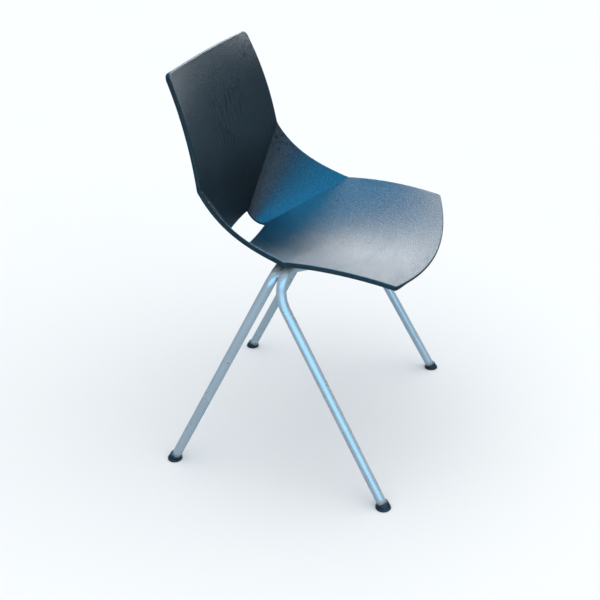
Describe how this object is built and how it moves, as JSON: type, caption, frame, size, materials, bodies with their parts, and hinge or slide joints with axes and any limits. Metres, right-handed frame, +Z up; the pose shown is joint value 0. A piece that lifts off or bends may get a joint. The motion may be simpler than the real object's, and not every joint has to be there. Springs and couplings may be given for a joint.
{
  "type": "stacking chair",
  "caption": "Armless stacking side chair with a folded one-piece plastic shell, a slot at the base of the back, and bent steel tube legs.",
  "frame": {"origin": "middle of the footprint on the floor", "axes": "+Z up, the chair faces -Y, +X to the sitter's left"},
  "size_m": [0.5624, 0.4996, 0.794],
  "materials": {
    "shell_plastic": "fine-grained blue-black moulded polypropylene",
    "tube_paint": "light silver-grey paint on steel tube",
    "tab_paint": "the frame's silver-grey paint on steel plate",
    "insert_brass": "turned brass",
    "fastener_steel": "zinc-plated steel",
    "glide_plastic": "black moulded plastic"
  },
  "bodies": {
    "frame": {"seat_shell": "shell_plastic", "front_leg_tube": "tube_paint", "rear_leg_tube": "tube_paint", "weld_left": "tube_paint", "weld_right": "tube_paint", "fixing_tab_front_left": "tab_paint", "fixing_tab_front_right": "tab_paint", "fixing_tab_rear_left": "tab_paint", "fixing_tab_rear_right": "tab_paint", "threaded_insert_front_left": "insert_brass", "threaded_insert_front_right": "insert_brass", "threaded_insert_rear_left": "insert_brass", "threaded_insert_rear_right": "insert_brass", "washer_front_left": "fastener_steel", "washer_front_right": "fastener_steel", "washer_rear_left": "fastener_steel", "washer_rear_right": "fastener_steel", "fixing_screw_front_left": "fastener_steel", "fixing_screw_front_right": "fastener_steel", "fixing_screw_rear_left": "fastener_steel", "fixing_screw_rear_right": "fastener_steel"},
    "glide_front_left": {"glide_front_left": "glide_plastic"},
    "glide_front_right": {"glide_front_right": "glide_plastic"},
    "glide_rear_left": {"glide_rear_left": "glide_plastic"},
    "glide_rear_right": {"glide_rear_right": "glide_plastic"}
  },
  "joints": [
    {"name": "front_left_glide_swivel", "type": "hinge", "parent": "frame", "child": "glide_front_left", "pos_m": [0.26471, -0.21197, 0.01], "axis": [-0.0783, 0.4711, 0.8786], "continuous": true},
    {"name": "front_right_glide_swivel", "type": "hinge", "parent": "frame", "child": "glide_front_right", "pos_m": [-0.26471, -0.21197, 0.01], "axis": [0.0783, 0.4711, 0.8786], "continuous": true},
    {"name": "rear_left_glide_swivel", "type": "hinge", "parent": "frame", "child": "glide_rear_left", "pos_m": [0.23839, 0.23087, 0.01], "axis": [-0.0282, -0.4466, 0.8943], "continuous": true},
    {"name": "rear_right_glide_swivel", "type": "hinge", "parent": "frame", "child": "glide_rear_right", "pos_m": [-0.23839, 0.23087, 0.01], "axis": [0.0282, -0.4466, 0.8943], "continuous": true}
  ]
}
